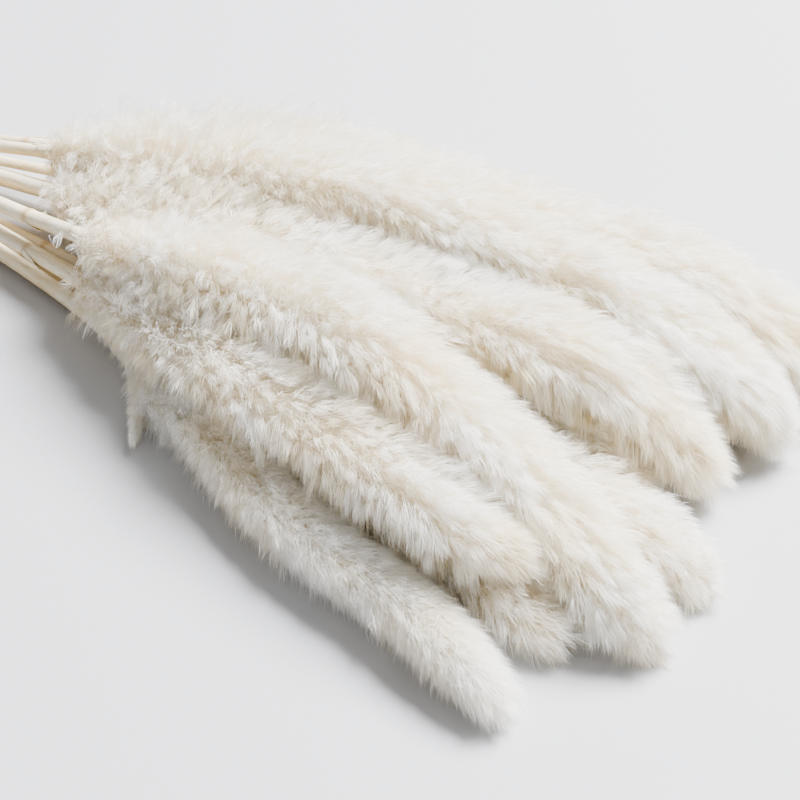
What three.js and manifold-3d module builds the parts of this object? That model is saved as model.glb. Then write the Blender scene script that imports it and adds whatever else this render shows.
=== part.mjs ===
// A tied bundle of bleached, fluffy grass plumes, lying on a flat surface.
// Millimetres, +Z up. The stems run along X: cut ends at -X, the fan of plumes at +X.
// The origin is under the middle of the whole bundle, on the surface that it lies on.
import * as THREE from "three";
import { mergeVertices } from "three/addons/utils/BufferGeometryUtils.js";
import Module from "manifold-3d";

// Stems
const STEM_TAIL = 104; // from the tie back to the cut ends
const CUT_SCATTER = 10; // how unevenly the stems are cut
const STEM_SIDES = 7;
const STEM_STEP = 34; // from one ring of a stem to the next
const STEM_BEND_STEP = 14; // the same where it bends at the tie
const JOINT_SPACING = 120; // between the swollen joints of a stem
const FIRST_JOINT = [36, 96]; // from the cut end to the first joint, least and most
const JOINT_SWELL = 0.3; // how far a joint stands proud of the stem
const JOINT_HALF = 1.6; // half the length of a joint
const JOINT_CLEAR = 5; // a plain ring keeps this far from a joint
const COLLAR_LENGTH = 9; // of the sheath's papery collar, under the plume
const COLLAR_LIP = 2; // from the widest part of the collar to the end of the stem
const COLLAR_CLEAR = 18; // a plain ring keeps this far from the end of the stem
const SEAT_GAP = 0.3; // between pieces that touch

// Plumes
const FRILL = { round: 7, pitch: 15, reach: 22 }; // tufts in a frill, frill spacing, tuft length
const CORE_SHARE = 0.52; // the core's radius, as a share of the plume's
const VALLEY_SHARE = 0.4; // how far the notch between two tufts stands out of the core
const VALLEY_REACH = 0.42; // how far forward the notch lies, as a share of the tuft's length
const TUFT_SCATTER = 0.2; // how unlike each other the tufts are
const BASE_SHARE = 0.55; // the radius at a plume's base, as a share of its widest
const WIDEN_TO = 0.4; // where along the plume it is widest
const ROUND_FROM = 0.8; // where it starts to round off towards its tip
const TIP_SHARE = 0.3; // the radius at its tip
const FLATTEN = 0.93; // height of a plume's middle when it lies on the surface, per radius

// The small side tuft that droops from the base of the front plume
const SIDE_FRILL = { round: 5, pitch: 7, reach: 11 };
const SIDE_TUFT = { after: 9, plume: 30, girth: 9.5, stem: 1.6, heading: -54 };
const SIDE_BENDS = 3; // pieces that its middle line is drawn in
const SIDE_LANDS = 0.66; // the share of its length over which it comes down to the surface

// Tie
const TWINE = 2; // diameter of the twine
const TIE_TURNS = 3;
const TIE_PITCH = 1.9; // from one turn to the next
const TIE_STEPS = 20; // sides of the loop
// A turn's ridge, per diameter of the twine: half its width and its height, at its flank and crest
const RIDGE = { flank: 0.45, flankHeight: 0.55, crest: 0.2, crestHeight: 0.97 };
const KNOT = { long: 2.9, wide: 2.4, high: 2 }; // half sizes
const LOOSE_END = 13; // how far each end of the twine sticks out of the knot
const LOOSE_SPREAD = 7; // how far it turns aside
const LOOSE_RADIUS = 0.8;
// Its route out of the knot, as shares of the length, the spread and the knot's height
const LOOSE_ROUTE = [[0, 0, 0], [0.4, 0.3, 0.7], [1, 1, 0.9]];

// The pile
const LINK = 9; // spacing of the points that a culm is bent at
const LINKS_NEAR = 2 * LINK; // links further apart than this along X can't touch
const ARC_DIVISIONS = 600; // steps that a culm's length is measured in
const PASSES = 400; // rounds of settling
const FIRM_PASSES = 80; // the last of them, which only push the culms apart
const SINK = 0.14; // how far a culm sinks in one round
const STIFF_SWEEPS = 3; // how often it is straightened in one round
const STIFFNESS = 0.5; // and how much each time
const CLEARANCE = 0.35; // kept between two culms
const GATHER = 0.06; // how strongly the tie draws the stems together
const TIE_HOLD = 28; // how far from the tie that is felt
const KEEP_SIDE = 0.05; // how strongly a culm keeps its place in the fan
const KEEP_HEIGHT = 0.015; // and its height
const TIE_MIDDLE = 11; // height of the middle of the tied stems
const TIE_SPREAD = 36; // how far a stem stands to the side in the tie, per radian that it fans out
const TIE_RISE = 0.22; // how far it stands above the middle, per millimetre of its crest
const MEAN_CREST = 22;
const TIE_PAD = 2.2; // between the surface and the lowest tied stem

// One culm per row. fan: where it points, in degrees from X. crest: how high it passes over the
// others, at half reach. reach: from the tie to the plume's tip. plume: the plume's length.
// girth: the plume's diameter. stem: the stem's diameter. bend: how far it curves sideways.
// collar: how far the collar stands proud of the stem.
const CULMS = [
  { fan: -14.2, crest: 11, reach: 352, plume: 180, girth: 21, stem: 5.2, bend: 20, collar: 1.3 },
  { fan: -9.6, crest: 11, reach: 348, plume: 148, girth: 19, stem: 4.4, bend: 8, collar: 0.5 },
  { fan: -9.3, crest: 22, reach: 332, plume: 192, girth: 21, stem: 4.4, bend: 3, collar: 0.5 },
  { fan: -7.4, crest: 33, reach: 364, plume: 232, girth: 26, stem: 5.0, bend: 1, collar: 0.6 },
  { fan: -3.2, crest: 12, reach: 364, plume: 190, girth: 23, stem: 4.6, bend: 0, collar: 0.4 },
  { fan: -6.2, crest: 12, reach: 318, plume: 120, girth: 17, stem: 4.2, bend: 1, collar: 0.4 },
  { fan: 2.4, crest: 40, reach: 345, plume: 252, girth: 26, stem: 4.6, bend: -5, collar: 0.6 },
  { fan: 1.0, crest: 14, reach: 330, plume: 185, girth: 22, stem: 4.2, bend: 0, collar: 0.4 },
  { fan: 7.8, crest: 40, reach: 354, plume: 276, girth: 29, stem: 4.4, bend: -1, collar: 0.5 },
  { fan: 5.9, crest: 28, reach: 335, plume: 200, girth: 22, stem: 4.0, bend: 0, collar: 0.4 },
  { fan: 8.6, crest: 16, reach: 348, plume: 214, girth: 22, stem: 4.2, bend: 0, collar: 0.4 },
  { fan: 11.3, crest: 39, reach: 374, plume: 270, girth: 28, stem: 4.0, bend: 11, collar: 0.5 },
  { fan: 14.0, crest: 14, reach: 345, plume: 215, girth: 22, stem: 3.8, bend: 8, collar: 0.4 },
];

const PLUME_LOOK = { color: 0xf1ece0, roughness: 0.95, metalness: 0 };
const STEM_LOOK = { color: 0xe3d3ac, roughness: 0.55, metalness: 0 };
const TWINE_LOOK = { color: 0xb59a6b, roughness: 0.9, metalness: 0 };

const wasm = await Module();
wasm.setup();

// A repeatable random number from 0 to 1.
function randomFrom(seed) {
  let state = seed >>> 0;
  return () => {
    state = (state + 0x6d2b79f5) >>> 0;
    let t = state;
    t = Math.imul(t ^ (t >>> 15), t | 1);
    t ^= t + Math.imul(t ^ (t >>> 7), t | 61);
    return ((t ^ (t >>> 14)) >>> 0) / 4294967296;
  };
}

// The plume's radius, from its base (0) to its tip (1).
function plumeRadius(culm, share) {
  const widening = BASE_SHARE + (1 - BASE_SHARE) * THREE.MathUtils.smoothstep(share, 0, WIDEN_TO);
  const towardsTip = Math.max(0, (share - ROUND_FROM) / (1 - ROUND_FROM));
  const rounding = Math.max(TIP_SHARE, Math.sqrt(Math.max(0, 1 - towardsTip ** 2)));
  return (culm.girth / 2) * widening * rounding;
}

// The radius of the room that a culm takes up, at a distance from its far end.
function roomRadius(culm, along) {
  const base = STEM_TAIL + culm.reach - culm.plume;
  if (along < base - LINK) return (culm.stem + JOINT_SWELL) / 2;
  return plumeRadius(culm, Math.max(0, (along - base) / culm.plume));
}

// Each culm before it settles: an arch over its neighbours, straight behind the tie.
function layOut(culm) {
  const links = Math.round((STEM_TAIL + culm.reach) / LINK);
  const heading = THREE.MathUtils.degToRad(culm.fan);
  const tiedAt = { y: TIE_SPREAD * heading, z: TIE_MIDDLE + TIE_RISE * (culm.crest - MEAN_CREST) };
  culm.link = (STEM_TAIL + culm.reach) / links;
  culm.points = [];
  culm.radii = [];
  for (let i = 0; i <= links; i++) {
    const out = i * culm.link - STEM_TAIL; // from the tie, forwards
    const share = Math.max(0, out / culm.reach);
    const side = culm.bend * 4 * share * (1 - share);
    const behind = Math.max(0, -out / STEM_TAIL);
    const y = tiedAt.y * (1 + behind - share) + share * culm.reach * Math.sin(heading);
    const crest = (culm.crest - tiedAt.z) * Math.sin(Math.PI * share) + tiedAt.z * (1 - share);
    const z = share ? crest + (culm.girth / 2) * share : tiedAt.z;
    culm.points.push(new THREE.Vector3(out * Math.cos(heading), y + side * Math.cos(heading), z));
    culm.radii.push(roomRadius(culm, i * culm.link));
  }
  culm.home = culm.points.map((p) => p.clone());
}

// Pushes two links of different culms apart if they are too close.
function pushApart(a, i, b, j) {
  const [p, q] = [a.points[i], b.points[j]];
  const u = a.points[i + 1].clone().sub(p);
  const v = b.points[j + 1].clone().sub(q);
  const w = p.clone().sub(q);
  const [uu, uv, vv, uw, vw] = [u.dot(u), u.dot(v), v.dot(v), u.dot(w), v.dot(w)];
  const clamp = (x) => Math.min(1, Math.max(0, x));
  let s = clamp((uv * vw - vv * uw) / Math.max(uu * vv - uv * uv, 1e-9));
  const t = clamp((uv * s + vw) / vv);
  s = clamp((uv * t - uw) / uu);
  const apart = w.addScaledVector(u, s).addScaledVector(v, -t);
  const room =
    a.radii[i] * (1 - s) + a.radii[i + 1] * s + b.radii[j] * (1 - t) + b.radii[j + 1] * t + CLEARANCE;
  const distance = apart.length();
  if (distance >= room) return;
  if (distance < 1e-6) apart.set(0, 0, 1);
  apart.setLength((room - distance) / 2);
  p.addScaledVector(apart, 1 - s);
  a.points[i + 1].addScaledVector(apart, s);
  q.addScaledVector(apart, t - 1);
  b.points[j + 1].addScaledVector(apart, -t);
}

// Draws a culm down, to the middle of the tie and back to where it was laid, and straightens it.
function relax(culm) {
  const { points, home } = culm;
  points.forEach((p, i) => {
    const out = i * culm.link - STEM_TAIL;
    const held = Math.exp(-((out / TIE_HOLD) ** 2));
    const loose = 1 - held;
    p.x = home[i].x;
    p.y += KEEP_SIDE * loose * (home[i].y - p.y) - GATHER * held * p.y;
    p.z += KEEP_HEIGHT * loose * (home[i].z - p.z) - GATHER * held * (p.z - TIE_MIDDLE);
    p.z -= SINK;
  });
  for (let sweep = 0; sweep < STIFF_SWEEPS; sweep++)
    for (let i = 1; i < points.length - 1; i++) {
      const middle = points[i - 1].clone().lerp(points[i + 1], 0.5);
      points[i].lerp(middle, STIFFNESS);
    }
}

// Stems lie on the surface, plumes a little flattened, and the tied part on the twine.
function keepOffFloor(culm) {
  culm.points.forEach((p, i) => {
    const out = i * culm.link - STEM_TAIL;
    const lying = culm.radii[i] > culm.stem ? FLATTEN * culm.radii[i] : culm.stem / 2;
    p.z = Math.max(p.z, Math.abs(out) < TIE_HOLD / 2 ? lying + TIE_PAD : lying);
  });
}

function settle(culms) {
  for (let pass = 0; pass < PASSES; pass++) {
    if (pass < PASSES - FIRM_PASSES) culms.forEach(relax);
    culms.forEach((a, n) =>
      culms.slice(n + 1).forEach((b) => {
        for (let i = 0; i < a.points.length - 1; i++)
          for (let j = 0; j < b.points.length - 1; j++)
            if (Math.abs(a.points[i].x - b.points[j].x) < LINKS_NEAR) pushApart(a, i, b, j);
      }),
    );
    culms.forEach(keepOffFloor);
  }
}

// The faces between neighbouring rings of points. at gives the number of a corner.
function facesBetween(ringCount, round, at) {
  const faces = [];
  for (let r = 0; r < ringCount; r++)
    for (let k = 0; k < round; k++) {
      faces.push(at(r, k), at(r, k + 1), at(r + 1, k));
      faces.push(at(r, k + 1), at(r + 1, k + 1), at(r + 1, k));
    }
  return faces;
}

function bodyOf(corners, faces) {
  const geometry = new THREE.BufferGeometry().setFromPoints(corners);
  geometry.setIndex(faces);
  return geometry;
}

// A closed body from rings of points, with a point at each end.
function ringBody(start, rings, end) {
  const round = rings[0].length;
  const corners = [start, ...rings.flat(), end];
  const at = (ring, k) => 1 + ring * round + (k % round);
  const faces = facesBetween(rings.length - 1, round, at);
  for (let k = 0; k < round; k++) {
    faces.push(0, at(0, k + 1), at(0, k));
    faces.push(corners.length - 1, at(rings.length - 1, k), at(rings.length - 1, k + 1));
  }
  return bodyOf(corners, faces);
}

// A closed body from rings of points, the last of which meets the first.
function loopBody(rings) {
  const round = rings[0].length;
  const at = (ring, k) => (ring % rings.length) * round + (k % round);
  return bodyOf(rings.flat(), facesBetween(rings.length, round, at));
}

// A closed geometry as a solid, and a solid as a geometry.
function solidOf(geometry) {
  const bare = geometry.index ? geometry.toNonIndexed() : geometry.clone();
  const positions = new THREE.BufferGeometry().setAttribute("position", bare.getAttribute("position"));
  const merged = mergeVertices(positions, 1e-3);
  const vertProperties = merged.attributes.position.array;
  const triVerts = new Uint32Array(merged.index.array);
  return new wasm.Manifold(new wasm.Mesh({ numProp: 3, vertProperties, triVerts }));
}

function geometryOf(solid) {
  const mesh = solid.getMesh();
  const geometry = new THREE.BufferGeometry();
  geometry.setAttribute("position", new THREE.BufferAttribute(mesh.vertProperties, mesh.numProp));
  geometry.setIndex(new THREE.BufferAttribute(mesh.triVerts, 1));
  return geometry;
}

// Places points round a curve: along it, round it, and out from it, but never below the surface.
function placer(curve) {
  const length = curve.getLength();
  const up = new THREE.Vector3(0, 0, 1);
  return (along, turn, out) => {
    const share = THREE.MathUtils.clamp(along / length, 0, 1);
    const ahead = curve.getTangentAt(share);
    const side = up.clone().cross(ahead).normalize();
    const top = ahead.clone().cross(side);
    const point = curve.getPointAt(share).addScaledVector(ahead, along - share * length);
    point.addScaledVector(side, out * Math.cos(turn)).addScaledVector(top, out * Math.sin(turn));
    point.z = Math.max(point.z, 0);
    return point;
  };
}

// A plume: frills of tufts that sweep forward out of a slim core, each frill half a tuft on.
function plumeGeometry(culm, curve, frill, random) {
  const place = placer(curve);
  const columns = 2 * frill.round;
  const base = curve.getLength() - culm.plume + SEAT_GAP;
  const frills = Math.round((culm.plume - frill.reach) / frill.pitch);
  const pitch = (culm.plume - frill.reach) / frills;
  const room = (along) => plumeRadius(culm, THREE.MathUtils.clamp((along - base) / culm.plume, 0, 1));
  const core = (along) => CORE_SHARE * room(along);
  const scatter = () => 1 - TUFT_SCATTER * random();
  const turnOf = (k) => (2 * Math.PI * k) / columns;
  const rings = [];
  for (let f = 0; f <= frills; f++) {
    const root = base + f * pitch;
    const rootRadius = f ? core(root) : culm.stem / 2 + SEAT_GAP;
    const roots = [];
    const edge = [];
    for (let k = 0; k < columns; k++) {
      roots.push(place(root, turnOf(k), rootRadius));
      if ((k + f) % 2) {
        const along = root + frill.reach * VALLEY_REACH;
        edge.push(place(along, turnOf(k), core(along) + VALLEY_SHARE * (room(along) - core(along))));
      } else {
        const along = root + frill.reach * scatter();
        const turn = turnOf(k) + TUFT_SCATTER * (random() - 0.5);
        edge.push(place(along, turn, room(along) * scatter()));
      }
    }
    rings.push(roots, edge);
  }
  const endOfCore = base + culm.plume - (1 - VALLEY_REACH) * frill.reach;
  return ringBody(place(base, 0, 0), rings, place(endOfCore, 0, 0));
}

// The small tuft beside the plume whose curve this is, lying on the surface.
function sideTuftGeometry(culm, curve, random) {
  const fork = curve.getLength() - culm.plume + SIDE_TUFT.after;
  const start = curve.getPointAt(fork / curve.getLength());
  const heading = THREE.MathUtils.degToRad(SIDE_TUFT.heading);
  const rest = (FLATTEN * SIDE_TUFT.girth) / 2;
  const points = [];
  for (let i = 0; i <= SIDE_BENDS; i++) {
    const share = i / SIDE_BENDS;
    const out = SIDE_TUFT.plume * share;
    const height = Math.max(rest, start.z * (1 - share / SIDE_LANDS));
    const [x, y] = [start.x + out * Math.cos(heading), start.y + out * Math.sin(heading)];
    points.push(new THREE.Vector3(x, y, height));
  }
  return plumeGeometry(SIDE_TUFT, new THREE.CatmullRomCurve3(points), SIDE_FRILL, random);
}

// A stem: a round rod, thicker at its joints and at its collar, cut square at the far end.
function stemGeometry(culm, curve, random) {
  const place = placer(curve);
  const cut = CUT_SCATTER * random();
  const end = curve.getLength() - culm.plume;
  const joints = [];
  let joint = cut + THREE.MathUtils.lerp(...FIRST_JOINT, random());
  for (; joint < end - COLLAR_CLEAR; joint += JOINT_SPACING) joints.push(joint);
  const rings = [[cut, 0]];
  const stepAt = (at) => (Math.abs(at - STEM_TAIL) < TIE_HOLD ? STEM_BEND_STEP : STEM_STEP);
  for (let at = cut + STEM_STEP; at < end - COLLAR_CLEAR; at += stepAt(at))
    if (joints.every((j) => Math.abs(at - j) > JOINT_CLEAR)) rings.push([at, 0]);
  for (const at of joints) rings.push([at - JOINT_HALF, 0], [at, JOINT_SWELL], [at + JOINT_HALF, 0]);
  rings.push([end - COLLAR_LENGTH, 0], [end - COLLAR_LIP, culm.collar], [end, culm.collar / 2]);
  rings.sort((a, b) => a[0] - b[0]);
  const turns = Array.from({ length: STEM_SIDES }, (_, k) => (2 * Math.PI * k) / STEM_SIDES);
  const circle = ([at, swell]) => turns.map((turn) => place(at, turn, culm.stem / 2 + swell));
  return ringBody(place(cut, 0, 0), rings.map(circle), place(end, 0, 0));
}

// Where a culm's middle crosses the plane at this x.
function crossing(culm, x) {
  const i = culm.points.findIndex((p) => p.x > x);
  const [p, q] = [culm.points[i - 1], culm.points[i]];
  return p.clone().lerp(q, (x - p.x) / (q.x - p.x));
}

// The outline of one ridged band of twine, from its front edge over its turns to its back edge.
// Each point is a place along the stems and a distance out from them.
function twineOutline() {
  const outline = [];
  for (let turn = TIE_TURNS - 1; turn >= 0; turn--) {
    const middle = (turn - (TIE_TURNS - 1) / 2) * TIE_PITCH;
    const flank = [RIDGE.flank * TWINE, RIDGE.flankHeight * TWINE];
    const crest = [RIDGE.crest * TWINE, RIDGE.crestHeight * TWINE];
    outline.push([middle + flank[0], flank[1]], [middle + crest[0], crest[1]]);
    outline.push([middle - crest[0], crest[1]], [middle - flank[0], flank[1]]);
  }
  const edge = (TIE_TURNS * TIE_PITCH) / 2;
  return [[edge, 0], ...outline, [-edge, 0]];
}

// The tie: turns of twine round all the stems, pressed flat underneath, with a knot on top.
function tieGeometry(culms) {
  const edge = (TIE_TURNS * TIE_PITCH) / 2;
  const reaching = (c) => c.stem / 2 + JOINT_SWELL;
  const stems = culms.flatMap((c) => [-edge, 0, edge].map((x) => [crossing(c, x), reaching(c)]));
  const angleOf = (side) => (2 * Math.PI * side) / TIE_STEPS;
  const reachOf = (angle) =>
    SEAT_GAP + Math.max(...stems.map(([p, r]) => p.y * Math.cos(angle) + p.z * Math.sin(angle) + r));
  // The corner between two sides of the loop, which all the stems lie within.
  const corner = (side, x, out) => {
    const [angle, step] = [angleOf(side), angleOf(1)];
    const [near, next] = [reachOf(angle) + out, reachOf(angle + step) + out];
    const past = (next - near * Math.cos(step)) / Math.sin(step);
    const y = near * Math.cos(angle) - past * Math.sin(angle);
    const z = near * Math.sin(angle) + past * Math.cos(angle);
    return new THREE.Vector3(x, y, Math.max(z, 0));
  };
  const rings = [];
  for (let side = 0; side < TIE_STEPS; side++)
    rings.push(twineOutline().map(([x, out]) => corner(side, x, out)));
  const top = corner(TIE_STEPS / 4 - 1, 0, TWINE).lerp(corner(TIE_STEPS / 4, 0, TWINE), 0.5);
  const knot = new THREE.IcosahedronGeometry(1, 1).scale(KNOT.long, KNOT.wide, KNOT.high);
  let solid = solidOf(loopBody(rings)).add(solidOf(knot.translate(top.x, top.y, top.z)));
  const section = new THREE.Shape().absarc(0, 0, LOOSE_RADIUS, 0, 2 * Math.PI);
  for (const spread of [-LOOSE_SPREAD, LOOSE_SPREAD]) {
    const points = LOOSE_ROUTE.map(([back, aside, up]) =>
      new THREE.Vector3(-back * LOOSE_END, aside * spread, up * KNOT.high).add(top),
    );
    const extrudePath = new THREE.CatmullRomCurve3(points);
    const end = new THREE.ExtrudeGeometry(section, { extrudePath, steps: 4, curveSegments: 3 });
    solid = solid.add(solidOf(end));
  }
  return geometryOf(solid);
}

function meshOf(name, geometry, look) {
  geometry.computeVertexNormals();
  const mesh = new THREE.Mesh(geometry, new THREE.MeshStandardMaterial(look));
  mesh.name = name;
  return mesh;
}

const bundle = new THREE.Group();
CULMS.forEach(layOut);
settle(CULMS);
CULMS.forEach((culm, n) => {
  const number = String(n + 1).padStart(2, "0");
  const random = randomFrom(40 + n);
  const curve = new THREE.CatmullRomCurve3(culm.points);
  curve.arcLengthDivisions = ARC_DIVISIONS;
  let plume = plumeGeometry(culm, curve, FRILL, random);
  if (n === 0) plume = geometryOf(solidOf(sideTuftGeometry(culm, curve, random)).add(solidOf(plume)));
  bundle.add(meshOf("plume_" + number, plume, PLUME_LOOK));
  bundle.add(meshOf("stem_" + number, stemGeometry(culm, curve, random), STEM_LOOK));
});
bundle.add(meshOf("tie", tieGeometry(CULMS), TWINE_LOOK));

// The origin goes under the middle of the bundle.
const box = new THREE.Box3().setFromObject(bundle);
bundle.position.set(-(box.min.x + box.max.x) / 2, -(box.min.y + box.max.y) / 2, -box.min.z);

export default bundle;
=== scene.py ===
"""Looks of the bundle of pampas grass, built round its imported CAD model.

Metres, +Z up. The stems run along X, cut ends at -X, plumes at +X. Every culm's middle line is
measured on its CAD nodes, and everything that grows on it is placed along that line: s is a
distance along the line, and a turn is an angle round it, from its side over its top.
"""

import math

import bpy
import numpy as np
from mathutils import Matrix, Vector


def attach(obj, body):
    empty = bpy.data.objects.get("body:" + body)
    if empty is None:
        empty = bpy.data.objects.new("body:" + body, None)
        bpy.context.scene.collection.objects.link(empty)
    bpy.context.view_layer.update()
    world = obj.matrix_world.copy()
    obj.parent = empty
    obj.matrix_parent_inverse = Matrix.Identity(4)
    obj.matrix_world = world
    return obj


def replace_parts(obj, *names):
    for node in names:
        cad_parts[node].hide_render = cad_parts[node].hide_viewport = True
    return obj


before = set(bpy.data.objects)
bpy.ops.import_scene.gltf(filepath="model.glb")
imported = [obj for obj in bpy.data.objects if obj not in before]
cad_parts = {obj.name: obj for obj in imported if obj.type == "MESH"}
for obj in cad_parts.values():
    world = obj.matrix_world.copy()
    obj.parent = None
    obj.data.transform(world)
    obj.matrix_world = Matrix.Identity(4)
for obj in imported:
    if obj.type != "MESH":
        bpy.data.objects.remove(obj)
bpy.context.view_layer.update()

# A pair of numbers is the least and the most of what is drawn at random, unless its comment says
# something else, and a spread is the standard deviation of such a draw. Turns are in radians.
MM = 0.001
WHOLE_TURN = 2 * math.pi
TINY = 1e-12  # keeps a direction without length from being divided by zero
CORNER_DECIMALS = 6  # CAD corners that agree in these decimals of a metre are one
CULM_COUNT = 13
FRONT = 1  # the culm that lies alone in front
PILE = (7, 9, 10, 11, 12, 13)  # the culms whose plumes start in one soft heap
FLOOR_GAP = 0.15 * MM  # nothing reaches lower than this

# Middle lines
RING_GAP = 0.5 * MM  # CAD corners closer than this along a stem belong to one ring
STEM_CURVE = 7  # degree of the curve through a stem that puts its corners in order
LINE_DETAIL = 24  # points from each given one to the next while a line is smoothed
LINE_STEP = 1.0 * MM  # spacing of the points of a finished line
PLUME_STEP = 12 * MM  # spacing of the places where a plume's middle is measured
PLUME_WINDOW = 9 * MM  # how far round such a place its corners count
TIP_PULL = 0.3  # how far the line's last point goes from the last middle to the CAD tip
GIRTH_EVERY = 3  # one CAD corner in three is measured for a plume's girth
GIRTH_PERCENT = 98  # and this percentage of them lies within it

# Stems
STEM_SIDES = 24
STEM_STEP = 1.0 * MM
JOINT_PROUD = 0.15 * MM  # a ring this much wider than the stem is a joint
JOINT_SWELL = 0.3 * MM
JOINT_REACH = 1.4 * MM  # how far a joint swells the stem to either side
JOINT_MARK = (0.7, 1.0)  # how dark its joints are
COLLAR_RINGS = 3  # the last rings of a stem, which form its collar
GRAIN = 0.02  # depth of the lengthwise grooves, per radius
HOLLOW = 0.55  # radius of the pith that is sunk into a cut end, per radius of the stem
HOLLOW_DEPTH = 1.2 * MM
PITH = ((1, 0.1), (1, 0.9), (0, 1.0))  # its rings: depths and radii as shares of these two
PITH_MARK = 0.8  # how dark it is

# Remains of leaf sheaths: bracts at the joints, and leaves at the collar under the plume
SHEATH_ROWS = 14  # along it
SHEATH_COLUMNS = 7  # round the stem
SHEATH_OFF = 0.12 * MM  # the gap between a sheath and the stem
SHEATH_THICK = 0.22 * MM
SHEATH_NARROWING = 0.93  # how much narrower its point is than its foot
SHEATH_POINT = 1.6  # power by which it narrows
SHEATH_OPENING = 2.2  # power by which it opens outwards
SHEATH_RAGGED = 0.12  # spread of its width from row to row
SHEATH_RAGGED_LIMITS = (0.7, 1.2)  # what that width keeps within
SHEATH_CRUMPLE = 0.1 * MM  # spread of how uneven its point is
BRACT = {"length": (5 * MM, 9 * MM), "span": (1.6, 3.0), "flare": (0.4 * MM, 1.6 * MM)}
COLLAR_LEAF = {"length": (9 * MM, 15 * MM), "below": (0.6, 0.9), "flare": (1.0 * MM, 2.4 * MM)}
COLLAR_LEAF_SPAN = 1.5  # turn from one edge to the other
COLLAR_LEAF_TURN = 1.6  # from each one to the next
COLLAR_LEAVES = 2
FRONT_COLLAR_LEAVES = 4

# The outline of a plume: radius at its base and where it is widest, as shares, and how much it
# has narrowed at its tip. The front one is slim, most of all at its base.
OUTLINE = {"base": 0.8, "widest": 0.3, "narrowing": 0.1}
FRONT_OUTLINE = {"base": 0.42, "widest": 0.4, "narrowing": 0.12}
SIDE_OUTLINE = {"base": 0.8, "widest": 0.25, "narrowing": 0.85}
PILE_OUTLINE = {"base": 0.75, "widest": 0.15, "narrowing": 0.1}
HEAP = {"share": 0.24, "width": 0.14, "more": 0.22}  # where the pile swells, and how much
TIP_ROUNDING = {"length": 0.16, "power": 2.2, "least": 0.4}  # of the last share of an outline
FLUFF = 5.4 * MM  # how far the tufts reach past the CAD plume
FRONT_FLUFF = 1.2 * MM  # the same on the front plume, which is slimmer
WIDEST = 18.6 * MM  # but no plume has a larger radius than this
FRONT_EARLY = 14 * MM  # how far before its CAD plume the front one's first hairs stand
CORE = 0.42  # radius of the dense middle, per radius of the CAD plume
CORE_STEP = 1.5 * MM
CORE_SIDES = 22
CORE_ROUGH = (0.82, 1.1)  # how its radius differs from corner to corner
CORE_SHORT = 9 * MM  # how far before the plume's end it stops
CORE_POINT = 0.3  # radius of its last ring, per radius that it would have
CORE_FOOT = 0.8  # radius of its first ring, per radius of the stem

# The side tuft that droops from the lowest branchlet of the front plume
SIDE_TUFT = {"after": 9 * MM, "length": 30 * MM, "radius": 2.2 * MM, "heading": math.radians(-54)}
SIDE_POINTS = 6
SIDE_LANDS = 0.66  # the share of its length over which it comes down to the surface
SIDE_HEIGHT = 4.4 * MM  # of its middle line where it lies on the surface
SIDE_SCALE = 0.55  # of its branchlets and tufts, to those of a plume

# Branchlets, which leave the axis of a plume in a spiral and lie along it
BRANCH_PITCH = 1.55 * MM  # between neighbouring ones along the axis
BRANCH_PLACE = (-0.4, 0.4)  # how far they stray from their places, in pitches
BRANCH_BEHIND = 7 * MM  # the first one starts this far behind the plume's base
BRANCH_MARGIN = 8 * MM  # how much shorter than the plume the stretch is that they start from
GOLDEN_TURN = math.radians(137.508)
BRANCH_TURN = 0.18  # spread of their turns
BRANCH_LENGTH = 42 * MM
BRANCH_LENGTHS = (0.8, 1.2)
BRANCH_LAST = 0.3  # length at the plume's end, per length at its base
BRANCH_SHORTENING = 0.6  # power by which they become shorter
BRANCH_LEAN = 0.92  # how far one runs along the axis, per length
BRANCH_CURL = 0.14  # spread of how far one curls round the axis
BRANCH_VIGOUR = (0.85, 1.15)  # how far out the tufts of one stand
TUFTS_ON_BRANCH = 15
TUFT_PLACE = 0.03  # spread of their places on a branchlet
TUFT_FIRST = 0.02  # no tuft is nearer to the branchlet's root than this
TUFT_SIDE = 0.34  # turn by which tufts stand to the left and right of their branchlet
TUFT_SIDE_END = 0.3  # the same at its end, as a share
TUFT_SIDES = (0.3, 1.1)  # how much of that turn a tuft makes
END_TUFTS = (5 * MM, 14 * MM)  # how near to the plume's end a tuft may root
TIP_CLOSES = 15 * MM  # length of a plume's end in which tufts fill its middle as well
TIP_FILLS = (0, 0.95)  # how far they move inwards at the very end
SAG = 3.0 * MM  # how far the end of a branchlet hangs down
SAG_ROOT = 0.5  # how far the root of a tuft hangs down, per tip

# Tufts
TUFT_LENGTH = 8 * MM
TUFT_LENGTHS = (0.75, 1.2)
TUFT_GROWTH = (0.85, 1.15)  # length at the root and at the end of a branchlet
TUFT_RISE = (math.radians(24), math.radians(52))  # how steeply they stand out
TUFT_CURL = 0.3  # how far a tuft's tip follows the curl of its branchlet
TUFT_OUT = 0.8  # how far the innermost tips reach, per radius of the plume's outside
TUFT_OUTS = (0.94, 1.06)
TUFT_ROOT = 0.25  # no tuft roots deeper than this, on the same scale
DEPTH_LIMIT = 1.1  # tips further out than this look alike
DROOP = math.radians(20)  # how much more steeply they stand out on the plume's underside
STRAY = {"share": 0.05, "out": 1.08, "more": 0.12, "below": 0.6}  # tufts that stick out at the sides
STRAY_LOOSE = {"share": 0.2, "more": 0.3, "from": 0.2}  # how much more they do where all is loose
LOOSE_SHARE = 0.4  # of a plume, from its base, where the tufts stand every way
LOOSE_RISE = math.radians(38)  # how much more steeply tufts stand out there, at most
LOOSE_TURN = 0.22  # spread of how far their tips turn aside
LOOSE_LONGER = 0.7  # how much longer they are, at most
LOOSE_GOLDEN = 0.5  # how much more golden their tone is
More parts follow.
